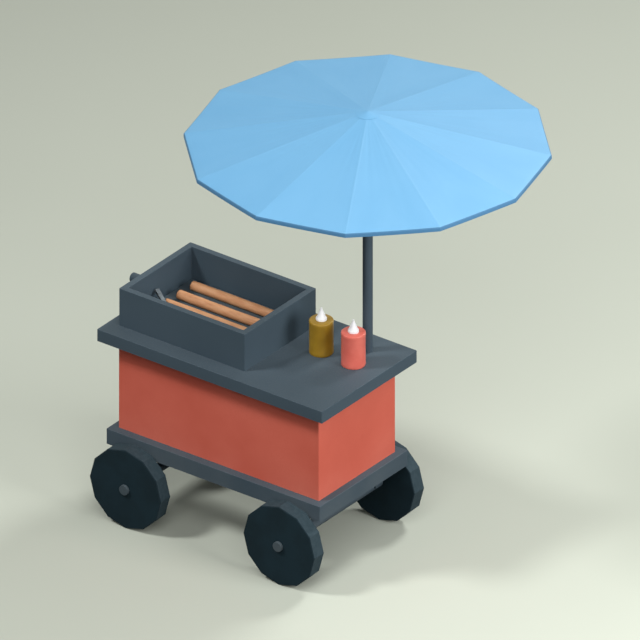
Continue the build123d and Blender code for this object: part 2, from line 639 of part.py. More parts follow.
# Runner: a sleeve on the mast with a slotted ring for the struts and a clamp screw boss.
with BuildPart() as runner:
    with BuildSketch(level(MAST_X, MAST_Y, RUNNER_Z - RUNNER_SKIRT)):
        Circle(RUNNER_SLEEVE_R)
    extrude(amount=RUNNER_SKIRT)
    with BuildSketch(level(MAST_X, MAST_Y, RUNNER_Z - RUNNER_RING_H / 2)):
        Circle(CROWN_R)
    extrude(amount=RUNNER_RING_H)
    with BuildSketch(level(MAST_X, MAST_Y, RUNNER_Z - RUNNER_RING_H / 2)):
        with PolarLocations(0, SIDES):
            with Locations((SLOT_R0, 0)):
                Rectangle(CROWN_R, SLOT_W, align=(Align.MIN, Align.CENTER))
    extrude(amount=RUNNER_RING_H, mode=Mode.SUBTRACT)
    with BuildSketch(level(MAST_X, MAST_Y, RUNNER_Z - RUNNER_SKIRT)):
        Circle(MAST_R + RUNNER_GAP)
    extrude(amount=2 * RUNNER_SKIRT, mode=Mode.SUBTRACT)
    screw_x = cos(radians(RUNNER_KNOB_ANGLE))
    screw_y = sin(radians(RUNNER_KNOB_ANGLE))
    screw_z = RUNNER_Z - RUNNER_KNOB_DROP
    with BuildSketch(Plane(point(MAST_X, MAST_Y, screw_z), z_dir=(screw_x, screw_y, 0))):
        Circle(SCREW_R + RUN)
    extrude(amount=CROWN_R, mode=Mode.SUBTRACT)
save(runner.part, "runner")

# Clamp screw of the runner, with a round head.
with BuildPart() as runner_knob:
    screw_plane = Plane(point(MAST_X, MAST_Y, screw_z), z_dir=(screw_x, screw_y, 0))
    with BuildSketch(screw_plane.offset(SCREW_R0)):
        Circle(SCREW_R)
    extrude(amount=SCREW_HEAD_R0 - SCREW_R0)
    with BuildSketch(screw_plane.offset(SCREW_HEAD_R0)):
        Circle(SCREW_HEAD_R)
        with PolarLocations(SCREW_HEAD_R, SIDES // 2):
            Circle(PIN_R, mode=Mode.SUBTRACT)
    extrude(amount=SCREW_HEAD_R1 - SCREW_HEAD_R0)
save(runner_knob.part, "runner_knob")

# Ribs with a strut lug underneath, and struts forked over the lug, ending in the runner's slots.
lug_along = LUG_ARM * cos(asin(LUG_DROP / LUG_ARM))
rib_l = (RIB_TIP_R - PIVOT_R) / cos(radians(SLOPE))
lug_r = PIVOT_R + LUG_ARM * cos(radians(STRUT_SLOPE))
lug_z = CROWN_PIVOT_Z - LUG_ARM * sin(radians(STRUT_SLOPE))
for number, angle in enumerate(rib_angles, start=1):
    rib_plane = on_arm(angle, PIVOT_R, CROWN_PIVOT_Z, cos(radians(SLOPE)), -sin(radians(SLOPE)))
    with BuildPart() as rib:
        with BuildSketch(rib_plane):
            Circle(EYE_R)
            Rectangle(rib_l, RIB_H, align=(Align.MIN, Align.CENTER))
            with Locations((rib_l, 0)):
                Circle(RIB_H / 2)
        extrude(amount=RIB_W / 2, both=True)
        with BuildSketch(rib_plane):
            with Locations((lug_along, -LUG_DROP)):
                Circle(LUG_R)
                Rectangle(2 * LUG_R, LUG_DROP, align=(Align.CENTER, Align.MIN))
        extrude(amount=LUG_T / 2, both=True)
        with BuildSketch(rib_plane):
            Circle(PIN_R + RUN)
            with Locations((lug_along, -LUG_DROP)):
                Circle(PIN_R + RUN)
        extrude(amount=RIB_W, both=True, mode=Mode.SUBTRACT)
    save(rib.part, f"rib_{number:02d}")

    strut_plane = on_arm(angle, lug_r, lug_z, -cos(radians(STRUT_SLOPE)), -sin(radians(STRUT_SLOPE)))
    with BuildPart() as strut:
        with BuildSketch(strut_plane):
            Rectangle(LUG_ARM, STRUT_H, align=(Align.MIN, Align.CENTER))
            with Locations((LUG_ARM, 0)):
                Circle(EYE_R)
        extrude(amount=RIB_W / 2, both=True)
        with BuildSketch(strut_plane):
            Circle(EYE_R)
            Rectangle(FORK_L, STRUT_H, align=(Align.MIN, Align.CENTER))
        extrude(amount=FORK_W / 2, both=True)
        with BuildSketch(strut_plane):
            Circle(FORK_SLOT_R)
        extrude(amount=FORK_SLOT_W / 2, both=True, mode=Mode.SUBTRACT)
        with BuildSketch(strut_plane):
            Circle(PIN_R)
        extrude(amount=FORK_W / 2, both=True)
    save(strut.part, f"strut_{number:02d}")

# Cover: a shallow twelve-sided pyramid with an upright hem band.
apex_drop = APEX_R * (CANOPY_APEX_Z - CANOPY_RIM_Z) / CANOPY_R
with BuildPart() as canopy:
    with BuildSketch(level(MAST_X, MAST_Y, CANOPY_RIM_Z - CANOPY_BAND)):
        RegularPolygon(CANOPY_R, SIDES)
    extrude(amount=CANOPY_BAND)
    with BuildSketch(level(MAST_X, MAST_Y, CANOPY_RIM_Z)):
        RegularPolygon(CANOPY_R, SIDES)
    with BuildSketch(level(MAST_X, MAST_Y, CANOPY_APEX_Z - apex_drop)):
        RegularPolygon(APEX_R, SIDES)
    loft(ruled=True)
    with BuildSketch(level(MAST_X, MAST_Y, CANOPY_RIM_Z - CANOPY_BAND)):
        RegularPolygon(CANOPY_R - CANOPY_T, SIDES)
    extrude(amount=CANOPY_BAND - CANOPY_T, mode=Mode.SUBTRACT)
    with BuildSketch(level(MAST_X, MAST_Y, CANOPY_RIM_Z - CANOPY_T)):
        RegularPolygon(CANOPY_R - CANOPY_T, SIDES)
    with BuildSketch(level(MAST_X, MAST_Y, CANOPY_APEX_Z - CANOPY_T - apex_drop)):
        RegularPolygon(APEX_R, SIDES)
    loft(ruled=True, mode=Mode.SUBTRACT)
save(canopy.part, "canopy")
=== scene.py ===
import json
from math import cos, pi, radians, sin, tan

import bmesh
import bpy
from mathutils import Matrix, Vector


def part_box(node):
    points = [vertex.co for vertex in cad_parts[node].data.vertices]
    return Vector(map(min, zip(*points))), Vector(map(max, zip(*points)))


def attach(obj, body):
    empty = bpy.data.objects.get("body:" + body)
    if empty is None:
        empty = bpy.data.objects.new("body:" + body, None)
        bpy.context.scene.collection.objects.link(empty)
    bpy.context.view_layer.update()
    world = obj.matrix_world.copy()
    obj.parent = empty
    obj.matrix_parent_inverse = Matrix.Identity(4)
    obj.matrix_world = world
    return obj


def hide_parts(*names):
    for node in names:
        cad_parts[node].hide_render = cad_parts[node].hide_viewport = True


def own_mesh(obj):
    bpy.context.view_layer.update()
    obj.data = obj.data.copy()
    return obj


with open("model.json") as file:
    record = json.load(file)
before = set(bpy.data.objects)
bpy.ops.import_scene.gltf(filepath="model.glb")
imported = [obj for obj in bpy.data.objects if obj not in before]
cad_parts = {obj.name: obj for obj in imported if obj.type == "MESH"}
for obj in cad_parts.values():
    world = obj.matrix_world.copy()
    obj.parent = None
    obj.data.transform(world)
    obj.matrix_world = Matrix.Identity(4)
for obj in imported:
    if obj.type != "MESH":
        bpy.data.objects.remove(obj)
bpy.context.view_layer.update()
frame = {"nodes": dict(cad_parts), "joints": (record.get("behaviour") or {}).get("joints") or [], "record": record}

# Hot dog cart: the finish of every solid, the parasol's cloth, the food and the bottles. Metres.
UP = Vector((0, 0, 1))
MM = 0.001

# View: a parallel projection, aimed from the middle of the counter.
AZIMUTH = radians(37.0)
ELEVATION = radians(29.3)
VIEW_SIZE = 2.774
AIM_RIGHT = 0.2732
AIM_UP = 0.8705
CAMERA_BACK = 9.0

# Parasol cloth. A panel between two ribs is sewn from two halves, one on each rib. It sags most at
# SAG_PEAK of the way down. The squash that fold() works out for a folded panel keeps it FOLD_GAP clear of the next
# panel.
BAND = 18.7 * MM
CLOTH_T = 0.5 * MM
HEM_T = 1.4 * MM
HEM_H = 10.0 * MM
RIM_FOLD = 5.0 * MM
RIM_FOLD_STEPS = 4
CLOTH_SAG = 2.0 * MM
SAG_PEAK = 0.8
RIPPLE = 0.25 * MM
RIPPLES = 5
FOLD_GAP = 0.3 * MM
CLOTH_START_R = 42.5 * MM
CLOTH_ROWS = 26
CLOTH_COLUMNS = 18
PATCH_R = 55.0 * MM
PATCH_T = 0.8 * MM
PATCH_LIFT = 0.2 * MM
PATCH_RINGS = 8
PATCH_SIDES = 48
TAPE_HALF_W = 12.2 * MM
TAPE_T = 0.8 * MM
TAPE_GAP = 0.25 * MM
TAPE_R0 = 56.0 * MM
TAPE_R1 = 788.0 * MM
TAPE_ROWS = 24
TAPE_LANES = 3

# Weave, stitching and the felled seam beside each rib.
THREAD_PITCH = 0.9 * MM
STITCH_PITCH = 4.0 * MM
STITCH_LINE = 5.0 * MM
FELL_W = 7.0 * MM
FELL_STEP = 1.4 * MM

# Sausages: each one's bow, their ends and their uneven girth.
SAUSAGE_SIDES = 28
SAUSAGE_RINGS = 64
SAUSAGE_BOWS = (2.5 * MM, -2.5 * MM, 1.5 * MM)
SAUSAGE_CAP = 10.0 * MM
CAP_POWER = 2.2
END_INSET = 0.6 * MM
END_R = 3.0 * MM
POLE_INSET = 2.0 * MM
GIRTH_WAVE = 0.005
GIRTH_WAVES = 11
PUCKER = 0.7 * MM
PUCKERS = 7

# Bottles and nozzles.
LATHE_SIDES = 72
BASE_RISE = 2.5 * MM
FOOT_H = 14.0 * MM
WAIST_START = 18.0 * MM
WAIST_DEPTH = 0.7 * MM
NECK_R = 15.0 * MM
NOZZLE_GAP = 0.3 * MM
SKIRT_H = 9.0 * MM
THREAD_BORE_R = 15.2 * MM
THREAD_BORE_H = 17.0 * MM
TIP_BORE_R = 1.6 * MM
TIP_BORE_H = 6.0 * MM
KNURLS = 36
KNURL_START = 1.0 * MM
KNURL_DEPTH = 0.5 * MM


def colour(red, green, blue):
    """Screen values from 0 to 255 as the linear colour that shaders take."""
    linear = []
    for value in (red, green, blue):
        share = value / 255
        linear.append(share / 12.92 if share <= 0.04045 else ((share + 0.055) / 1.055) ** 2.4)
    return (*linear, 1.0)


# Meshes

def make_mesh(name, points, faces, crease=40):
    """A closed, smooth-shaded mesh object, with sharp edges where faces meet at more than crease degrees."""
    mesh = bpy.data.meshes.new(name)
    mesh.from_pydata(points, [], faces)
    work = bmesh.new()
    work.from_mesh(mesh)
    bmesh.ops.recalc_face_normals(work, faces=work.faces)
    work.to_mesh(mesh)
    work.free()
    mesh.polygons.foreach_set("use_smooth", [True] * len(mesh.polygons))
    mesh.set_sharp_from_angle(angle=radians(crease))
    made = bpy.data.objects.new(name, mesh)
    bpy.context.scene.collection.objects.link(made)
    return made


def dress(piece, body, finish, replaced=None):
    """Puts a piece on its body, with its finish, and hides the solid that it stands for."""
    piece.data.materials.append(finish)
    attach(piece, body)
    if replaced:
        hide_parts(replaced)


def shell(outer, inner):
    """Points and faces of a closed skin between two grids of points of the same size."""
    rows = len(outer)
    columns = len(outer[0])
    points = [point for grid in (outer, inner) for row in grid for point in row]

    def index(side, row, column):
        """A point's place in the list."""
        return (side * rows + row) * columns + column

    faces = []
    for row in range(rows - 1):
        for column in range(columns - 1):
            for side in (0, 1):
                faces.append((
                    index(side, row, column), index(side, row + 1, column),
                    index(side, row + 1, column + 1), index(side, row, column + 1),
                ))
    for row in range(rows - 1):
        for column in (0, columns - 1):
            faces.append((
                index(0, row, column), index(0, row + 1, column),
                index(1, row + 1, column), index(1, row, column),
            ))
    for column in range(columns - 1):
        for row in (0, rows - 1):
            faces.append((
                index(0, row, column), index(0, row, column + 1),
                index(1, row, column + 1), index(1, row, column),
            ))
    return points, faces


def loft(rings):
    """Points and faces through closed rings of points; a ring of one point is a pole."""
    points = [point for ring in rings for point in ring]
    starts = [0]
    for ring in rings:
        starts.append(starts[-1] + len(ring))
    faces = []
    for number in range(len(rings) - 1):
        first = rings[number]
        second = rings[number + 1]
        sides = max(len(first), len(second))
        for side in range(sides):
            after = (side + 1) % sides
            low = [starts[number] + (spot if len(first) > 1 else 0) for spot in (side, after)]
            high = [starts[number + 1] + (spot if len(second) > 1 else 0) for spot in (after, side)]
            faces.append(tuple(dict.fromkeys(low + high)))
    return points, faces


def lathe(profile, centre, sides=LATHE_SIDES, swell=None):
    """Points and faces of a profile of (radius, height) turned about an upright axis through centre."""
    rings = []
    for radius, height in profile:
        if radius == 0:
            rings.append([centre + UP * height])
            continue
        ring = []
        for side in range(sides):
            angle = 2 * pi * side / sides
            reach = radius + (swell(angle, height) if swell else 0)
            ring.append(centre + Vector((reach * cos(angle), reach * sin(angle), height)))
        rings.append(ring)
    return loft(rings)


# Shader nodes

def put(tree, socket, value):
    """Links a socket to another, or sets it to a value."""
    if isinstance(value, bpy.types.NodeSocket):
        tree.links.new(value, socket)
    else:
        socket.default_value = value


def add(tree, kind, inputs=None, **settings):
    """A new shader node with its settings and inputs."""
    made = tree.nodes.new("ShaderNode" + kind)
    for name, value in settings.items():
        setattr(made, name, value)
    for name, value in (inputs or {}).items():
        put(tree, made.inputs[name], value)
    return made


def noise(tree, place, scale, detail=2.0):
    """Cloudy values from about 0.2 to 0.8."""
    return add(tree, "TexNoise", {"Vector": place, "Scale": scale, "Detail": detail}).outputs[0]


def spread(tree, value, low, high, to_low=0.0, to_high=1.0):
    """A value's range from low to high, smoothly stretched to another."""
    names = ("Value", "From Min", "From Max", "To Min", "To Max")
    inputs = dict(zip(names, (value, low, high, to_low, to_high)))
    return add(tree, "MapRange", inputs, interpolation_type="SMOOTHSTEP").outputs[0]


def calc(tree, operation, first, second=0.0):
    """A sum, product or other function of one or two values."""
    return add(tree, "Math", {0: first, 1: second}, operation=operation).outputs[0]


def wave(tree, value, pitch):
    """A sine wave of that pitch along a value."""
    return calc(tree, "SINE", calc(tree, "MULTIPLY", value, 2 * pi / pitch))


def mixed(tree, share, first, second):
    """Two colours mixed by a share."""
    made = add(tree, "Mix", data_type="RGBA")
    for socket, value in ((0, share), (6, first), (7, second)):
        put(tree, made.inputs[socket], value)
    return made.outputs[2]


def stretched(tree, place, x, y, z):
    """Coordinates scaled along each axis."""
    return add(tree, "Mapping", {"Vector": place, "Scale": (x, y, z)}).outputs[0]


def bumped(tree, height, distance, under=None, strength=1.0):
    """A normal tilted by a height, on top of another bump if there is one."""
    made = add(tree, "Bump", {"Height": height, "Distance": distance, "Strength": strength})
    if under:
        put(tree, made.inputs["Normal"], under)
    return made.outputs[0]


def part_of(tree, vector, axis):
    """A vector's X, Y or Z."""
    return add(tree, "SeparateXYZ", {0: vector}).outputs[axis]


def edges(tree, radius):
    """1 on edges that are sharper than a rounding of that radius, and 0 on flat ground."""
    rounded = add(tree, "Bevel", {"Radius": radius}, samples=4).outputs[0]
    true = add(tree, "NewGeometry").outputs["True Normal"]
    same = add(tree, "VectorMath", {0: rounded, 1: true}, operation="DOT_PRODUCT").outputs["Value"]
    return spread(tree, same, 0.995, 0.80)


def start(name):
    """A new material, its node tree, its Principled shader and the object's own coordinates."""
    made = bpy.data.materials.new(name)
    made.use_nodes = True
    tree = made.node_tree
    place = add(tree, "TexCoord").outputs["Object"]
    return made, tree, tree.nodes["Principled BSDF"], place


def wire(tree, shader, **inputs):
    """Sets or links the shader's sockets, named with _ for a space."""
    names = {socket.name.lower().replace(" ", "_"): socket for socket in shader.inputs}
    for name, value in inputs.items():
        put(tree, names[name], value)


# Finishes

DUST = colour(176, 172, 158)
# Painted shade: the deeper blue given to the parasol's rim fold and upright band.
BAND_SHADE_TONE = colour(70, 119, 157)
PRIMER = colour(122, 126, 128)
BAR_STEEL = colour(178, 180, 182)


def enamel(name, base, deep, pale, roughness=0.48, steel_beyond_y=None):
    """Sprayed enamel on sheet steel: orange peel, faint clouds, dust low down and rubbed edges.
    Beyond a place along Y it is bare bar steel, as on the doors' pulls."""
    made, tree, shader, place = start(name)
    cloud = noise(tree, place, 2.6, 4.0)
    speck = noise(tree, place, 140.0, 3.0)
    tone = mixed(tree, spread(tree, cloud, 0.3, 0.7), deep, pale)
    tone = mixed(tree, spread(tree, speck, 0.35, 0.75, 0.0, 0.5), tone, base)
    height = part_of(tree, place, 2)
    facing = part_of(tree, add(tree, "NewGeometry").outputs["Normal"], 2)
    low = calc(tree, "MULTIPLY", spread(tree, height, 0.62, 0.30), spread(tree, cloud, 0.35, 0.8, 0.0, 0.08))
    level = calc(tree, "MULTIPLY", spread(tree, facing, 0.7, 1.0), spread(tree, speck, 0.3, 0.8, 0.015, 0.06))
    tone = mixed(tree, calc(tree, "MAXIMUM", low, level), tone, DUST)
    wear = spread(tree, noise(tree, place, 34.0, 5.0), 0.42, 0.72, 0.05, 0.55)
    tone = mixed(tree, calc(tree, "MULTIPLY", edges(tree, 2.2 * MM), wear), tone, PRIMER)
    rough = spread(tree, cloud, 0.2, 0.8, roughness - 0.05, roughness + 0.10)
    bare = 0.0
    if steel_beyond_y is not None:
        bare = calc(tree, "GREATER_THAN", part_of(tree, place, 1), steel_beyond_y)
        tone = mixed(tree, bare, tone, BAR_STEEL)
    peel = bumped(tree, noise(tree, place, 700.0), 0.05 * MM, strength=0.35)
    dents = bumped(tree, noise(tree, place, 7.0), 0.7 * MM, peel, 0.5)
    wire(tree, shader, base_color=tone, roughness=rough, metallic=bare, normal=dents,
         specular_ior_level=0.08)
    return made


def rubber(name):
    """Solid rubber: a dark moulded face, and a paler, dusty and scuffed running face."""
    made, tree, shader, place = start(name)
    grain = noise(tree, place, 420.0, 3.0)
    cloud = noise(tree, place, 9.0, 4.0)
    side = mixed(tree, spread(tree, cloud, 0.3, 0.7), colour(21, 36, 43), colour(28, 45, 53))
    facing = calc(tree, "ABSOLUTE", part_of(tree, add(tree, "NewGeometry").outputs["Normal"], 1))
    running = spread(tree, facing, 0.75, 0.35)
    scuff = spread(tree, noise(tree, place, 60.0, 5.0), 0.3, 0.7)
    worn = mixed(tree, scuff, colour(49, 64, 71), colour(56, 71, 78))
    tone = mixed(tree, running, side, worn)
    tone = mixed(tree, calc(tree, "MULTIPLY", edges(tree, 4.0 * MM), 0.25), tone, colour(66, 78, 84))
    bump = bumped(tree, grain, 0.08 * MM, strength=0.4)
    rough = spread(tree, cloud, 0.2, 0.8, 0.66, 0.8)
    wire(tree, shader, base_color=tone, roughness=rough, normal=bump, specular_ior_level=0.12)
    return made


def metal(name, dark, light, roughness, grain, tarnish=None):
    """Bare metal with drawing marks along its grain, given as a scale for each axis."""
    made, tree, shader, place = start(name)
    marks = noise(tree, stretched(tree, place, *grain), 1.0, 4.0)
    cloud = noise(tree, place, 14.0, 4.0)
    tone = mixed(tree, spread(tree, marks, 0.3, 0.7), dark, light)
    if tarnish:
        tone = mixed(tree, spread(tree, cloud, 0.5, 0.85, 0.0, 0.6), tone, tarnish)
    rough = spread(tree, calc(tree, "ADD", marks, cloud), 0.6, 1.4, roughness - 0.08, roughness + 0.12)
    bump = bumped(tree, marks, 0.04 * MM, strength=0.4)
    wire(tree, shader, base_color=tone, metallic=1.0, roughness=rough, normal=bump)
    return made


def griddle_iron(name):
    """Seasoned iron plate: blue-black, with greasy patches that shine and baked-on specks."""
    made, tree, shader, place = start(name)
    cloud = noise(tree, place, 8.0, 6.0)
    speck = noise(tree, place, 260.0, 2.0)
    tone = mixed(tree, spread(tree, cloud, 0.3, 0.7), colour(72, 84, 91), colour(84, 96, 103))
    tone = mixed(tree, spread(tree, speck, 0.62, 0.8, 0.0, 0.45), tone, colour(44, 46, 48))
    rough = spread(tree, cloud, 0.4, 0.62, 0.62, 0.42)
    bump = bumped(tree, noise(tree, place, 500.0, 3.0), 0.15 * MM, strength=0.5)
    wire(tree, shader, base_color=tone, roughness=rough, normal=bump, specular_ior_level=0.4)
    return made


def plastic(name, deep, base, roughness, seam_axis=None, centre=None, coat=0.0):
    """Moulded plastic with a fine texture and, on a bottle, the faint seam of its two-part mould."""
    made, tree, shader, place = start(name)
    cloud = noise(tree, place, 22.0, 4.0)
    scuff = noise(tree, stretched(tree, place, 160.0, 160.0, 24.0), 1.0, 4.0)
    tone = mixed(tree, spread(tree, cloud, 0.3, 0.7), deep, base)
    rough = spread(tree, scuff, 0.35, 0.75, roughness - 0.05, roughness + 0.12)
    bump = bumped(tree, noise(tree, place, 1400.0), 0.03 * MM, strength=0.3)
    if seam_axis is not None:
        offset = calc(tree, "SUBTRACT", part_of(tree, place, seam_axis), centre[seam_axis])
        away = calc(tree, "ABSOLUTE", offset)
        bump = bumped(tree, spread(tree, away, 0.7 * MM, 0.2 * MM), 0.25 * MM, bump)
    wire(tree, shader, base_color=tone, roughness=rough, normal=bump, coat_weight=coat)
    return made


def cloth(name):
    """Plain-woven parasol cloth: threads, slubs, a sewn line beside the rib, and the rim fold and band in a deeper
    blue that is painted shade.
    """
    made, tree, shader, _ = start(name)
    place = add(tree, "Attribute", attribute_name="cloth").outputs["Vector"]
    along = part_of(tree, place, 0)
    across = part_of(tree, place, 1)
    panel = part_of(tree, place, 2)
    weave = calc(tree, "MULTIPLY", wave(tree, across, THREAD_PITCH), wave(tree, along, THREAD_PITCH))
    slub = noise(tree, stretched(tree, place, 30.0, 900.0, 7.0), 1.0, 3.0)
    fade = noise(tree, stretched(tree, place, 2.0, 5.0, 3.7), 1.0, 3.0)
    hem = add(tree, "Attribute", attribute_name="hem").outputs["Fac"]
    tone = mixed(tree, spread(tree, fade, 0.3, 0.7), colour(107, 166, 206), colour(112, 170, 209))
    tone = mixed(tree, spread(tree, slub, 0.4, 0.8, 0.0, 0.2), tone, colour(120, 174, 214))
    shade = add(tree, "TexWhiteNoise", {"W": panel}, noise_dimensions="1D").outputs["Value"]
    tone = mixed(tree, spread(tree, shade, 0.0, 1.0, 0.0, 0.08), tone, colour(88, 150, 198))
    thread = spread(tree, wave(tree, along, STITCH_PITCH), -0.5, -0.1)
    beside = calc(tree, "ABSOLUTE", calc(tree, "SUBTRACT", across, STITCH_LINE))
    stitch = calc(tree, "MULTIPLY", spread(tree, beside, 0.8 * MM, 0.4 * MM), thread)
    tone = mixed(tree, calc(tree, "MULTIPLY", stitch, 0.25), tone, colour(136, 188, 222))
    # Painted shade: the rim fold and upright band, marked by the hem attribute, turn a deeper blue.
    tone = mixed(tree, spread(tree, hem, 0.2, 0.8), tone, BAND_SHADE_TONE)
    felled = spread(tree, across, FELL_W, FELL_W - FELL_STEP)
    bump = bumped(tree, felled, 0.15 * MM)
    bump = bumped(tree, stitch, 0.15 * MM, bump)
    bump = bumped(tree, calc(tree, "ADD", weave, slub), 0.10 * MM, bump, 0.5)
    wire(tree, shader, base_color=tone, normal=bump, roughness=0.55, specular_ior_level=0.3,
         sheen_weight=0.03, sheen_roughness=0.5)
    return made


def sausage_skin(name):
    """Cooked casing: tan with browned patches and fine pores."""
    made, tree, shader, place = start(name)
    patch = noise(tree, stretched(tree, place, 14.0, 60.0, 60.0), 1.0, 5.0)
    pore = noise(tree, place, 520.0, 3.0)
    tone = mixed(tree, spread(tree, patch, 0.35, 0.7), colour(197, 147, 107), colour(184, 130, 91))
    tone = mixed(tree, spread(tree, pore, 0.58, 0.8, 0.0, 0.45), tone, colour(156, 100, 64))
    tone = mixed(tree, spread(tree, patch, 0.66, 0.82, 0.0, 0.5), tone, colour(140, 86, 54))
    rough = spread(tree, patch, 0.3, 0.7, 0.55, 0.65)
    bump = bumped(tree, pore, 0.12 * MM, strength=0.5)
    bump = bumped(tree, patch, 0.8 * MM, bump, 0.4)
    wire(tree, shader, base_color=tone, roughness=rough, normal=bump, specular_ior_level=0.3)
    return made


def finishes():
    """One material for each of the record's slots."""
    pull_face_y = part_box("cabinet_shell")[1].y + 0.5 * MM
    bottles = {sauce: sum(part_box(sauce), Vector()) / 2 for sauce in ("mustard_bottle", "ketchup_bottle")}
    slate = (colour(68, 82, 92), colour(65, 79, 89), colour(71, 85, 95))
    red = (colour(211, 104, 86), colour(205, 98, 80), colour(217, 110, 92))
    return {
        "slate_paint": enamel("slate_enamel", *slate),
        "red_paint": enamel("red_enamel", *red, steel_beyond_y=pull_face_y),
        "tyre_rubber": rubber("tyre_rubber"),
        "bare_steel": metal("mill_steel", colour(138, 142, 145), colour(172, 175, 178), 0.42,
                            (160, 12, 160)),
        "cap_paint": enamel("cap_enamel", colour(70, 82, 89), colour(66, 78, 85), colour(76, 88, 95)),
        "griddle_iron": griddle_iron("griddle_iron"),
        "gas_brass": metal("drawn_brass", colour(196, 160, 88), colour(218, 186, 116), 0.3, (90, 90, 90),
                           colour(122, 96, 54)),
        "cylinder_shell": plastic("wound_composite", colour(178, 182, 180), colour(194, 198, 195), 0.35,
                                  coat=0.3),
        "knob_plastic": plastic("knob_plastic", colour(28, 29, 31), colour(38, 39, 42), 0.5),
        "mast_paint": enamel("mast_enamel", colour(69, 82, 92), colour(65, 78, 88), colour(74, 87, 97),
                             0.38),
        "rib_metal": metal("anodised_rib", colour(176, 180, 183), colour(200, 203, 206), 0.36,
                           (20, 20, 20)),
        "canopy_cloth": cloth("canopy_cloth"),
        "sausage": sausage_skin("sausage_skin"),
        "mustard_plastic": plastic("mustard_plastic", colour(146, 113, 26), colour(155, 121, 31), 0.34,
                                   seam_axis=0, centre=bottles["mustard_bottle"]),
        "ketchup_plastic": plastic("ketchup_plastic", colour(213, 102, 88), colour(219, 110, 96), 0.34,
                                   seam_axis=0, centre=bottles["ketchup_bottle"]),
        "nozzle_plastic": plastic("nozzle_plastic", colour(225, 226, 228), colour(230, 231, 232), 0.36),
        "tongs_steel": metal("tongs_steel", colour(106, 113, 119), colour(128, 135, 141), 0.55,
                             (60, 60, 400)),
    }


FINISH = finishes()
for part in frame["record"]["subparts"]:
    node = frame["nodes"][part["node"]]
    node.data.materials.clear()
    node.data.materials.append(FINISH[part["material_slot"]])


# Parasol cloth

def parasol():
    """The parasol's sizes, taken from the canopy's solid and the ribs' joints."""
    low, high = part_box("canopy")
    middle = (low + high) / 2
    ribs = [joint for joint in frame["joints"] if joint["name"].startswith("rib_")]
    return {
        "axis": Vector((middle.x, middle.y, 0)), "radius": (high.x - low.x) / 2, "apex": high.z,
        "rim": low.z + BAND, "half_turn": pi / len(ribs), "ribs": ribs,
    }


PARASOL = parasol()


def hump(share):
    """A curve that is 0 at both ends and 1 midway."""
    return 4 * share * (1 - share)


class HalfPanel:
    """Half of a panel: from a rib's line to the middle line between it and the next rib."""

    def __init__(self, joint, side):
        self.tangent = Vector(joint["axis"])
        self.out = self.tangent.cross(UP)
        self.side = side
        self.apex = PARASOL["axis"] + UP * PARASOL["apex"]
        radius = PARASOL["radius"]
        turn = PARASOL["half_turn"]
        rim = PARASOL["axis"] + UP * PARASOL["rim"]
        self.corner = rim + self.out * radius
        self.middle = rim + self.out * radius * cos(turn) ** 2
        self.middle += self.tangent * side * radius * cos(turn) * sin(turn)
        self.width = (self.middle - self.corner).length
        self.length = (self.corner - self.apex).length

    def at(self, down, share):
        """A point of the sheet: down is 0 at the apex and 1 at the rim, share 0 at the rib and 1 midway."""
        flat = self.apex.lerp(self.corner.lerp(self.middle, share), down)
        belly = down * (2 * SAG_PEAK - down) / SAG_PEAK ** 2 * (2 * share - share ** 2)
        ripple = hump(down) * hump(share) * sin(pi * RIPPLES * share)
        return flat - UP * (CLOTH_SAG * belly + RIPPLE * ripple)

    def column(self, share):
        """The outer points from the crown to the hem's lower edge, with each one's thickness."""
        start_down = CLOTH_START_R / PARASOL["radius"]
        end_down = 1 - RIM_FOLD / self.length
        downs = [start_down + (end_down - start_down) * row / CLOTH_ROWS for row in range(CLOTH_ROWS + 1)]
        points = [(self.at(down, share), CLOTH_T) for down in downs]
        rim = self.at(1, share)
        first = points[-1][0]
        last = rim - UP * RIM_FOLD
        for number in range(1, RIM_FOLD_STEPS + 1):
            step = number / RIM_FOLD_STEPS
            points.append((first.lerp(rim, step).lerp(rim.lerp(last, step), step), CLOTH_T))
        hem_top = BAND - HEM_H
        hem = ((hem_top, CLOTH_T), (hem_top + HEM_T, HEM_T), (BAND - HEM_T / 2, HEM_T), (BAND, CLOTH_T))
        for drop, thickness in hem:
            points.append((rim - UP * drop, thickness))
        return points

    def sheet(self):
        """Outer and inner grids of points, and each point's place on the flat cloth."""
        outer, inner, flat = [], [], []
        rim_line = (self.middle - self.corner).normalized() * self.side
        for number in range(CLOTH_COLUMNS + 1):
            share = number / CLOTH_COLUMNS
            column = self.column(share)
            spots = [point for point, _ in column]
            along = CLOTH_START_R
            outer.append(spots)
            inside = []
            places = []
            for row, (spot, thickness) in enumerate(column):
                before = spots[max(row - 1, 0)]
                after = spots[min(row + 1, len(spots) - 1)]
                normal = rim_line.cross(before - after).normalized()
                inside.append(spot - normal * thickness)
                along += (spot - before).length
                places.append((along, share * self.width * min(along / self.length, 1.0)))
            inner.append(inside)
            flat.append(places)
        return outer, inner, flat

    def fold(self, joint):
        """The squash of the folded panel: its axis, anchor and share.
        The upright plane midway between two ribs has to land on itself when the rib has swung down,
        with the panel's middle line and the end of its hem, and the rib's edge stays straight."""
        swing = radians(joint["range_deg"][1])
        pivot = Vector(joint["pos_m"]) - PARASOL["axis"]
        lean = tan(PARASOL["half_turn"])
        before = self.tangent * self.side - self.out * lean
        after = self.tangent * self.side - (self.out * cos(swing) + UP * sin(swing)) * lean
        rib_line = self.corner - self.apex
        axis = after * (before.dot(rib_line) / after.dot(rib_line)) - before
        keep = 1 / (1 + axis.length_squared / axis.dot(before))
        axis.normalize()
        shift = pivot.dot(self.out) * (1 - cos(swing)) - pivot.z * sin(swing)
        level = lean * shift - FOLD_GAP * after.length
        anchor = PARASOL["axis"] + axis * level / ((1 - keep) * axis.dot(after))
        return axis, anchor, keep


def lay_cloth(made, spots):
    """Gives each point its place on the flat cloth, for the weave: along, across and panel number."""
    place = made.data.attributes.new("cloth", "FLOAT_VECTOR", "POINT")
    place.data.foreach_set("vector", [value for spot in spots for value in spot])


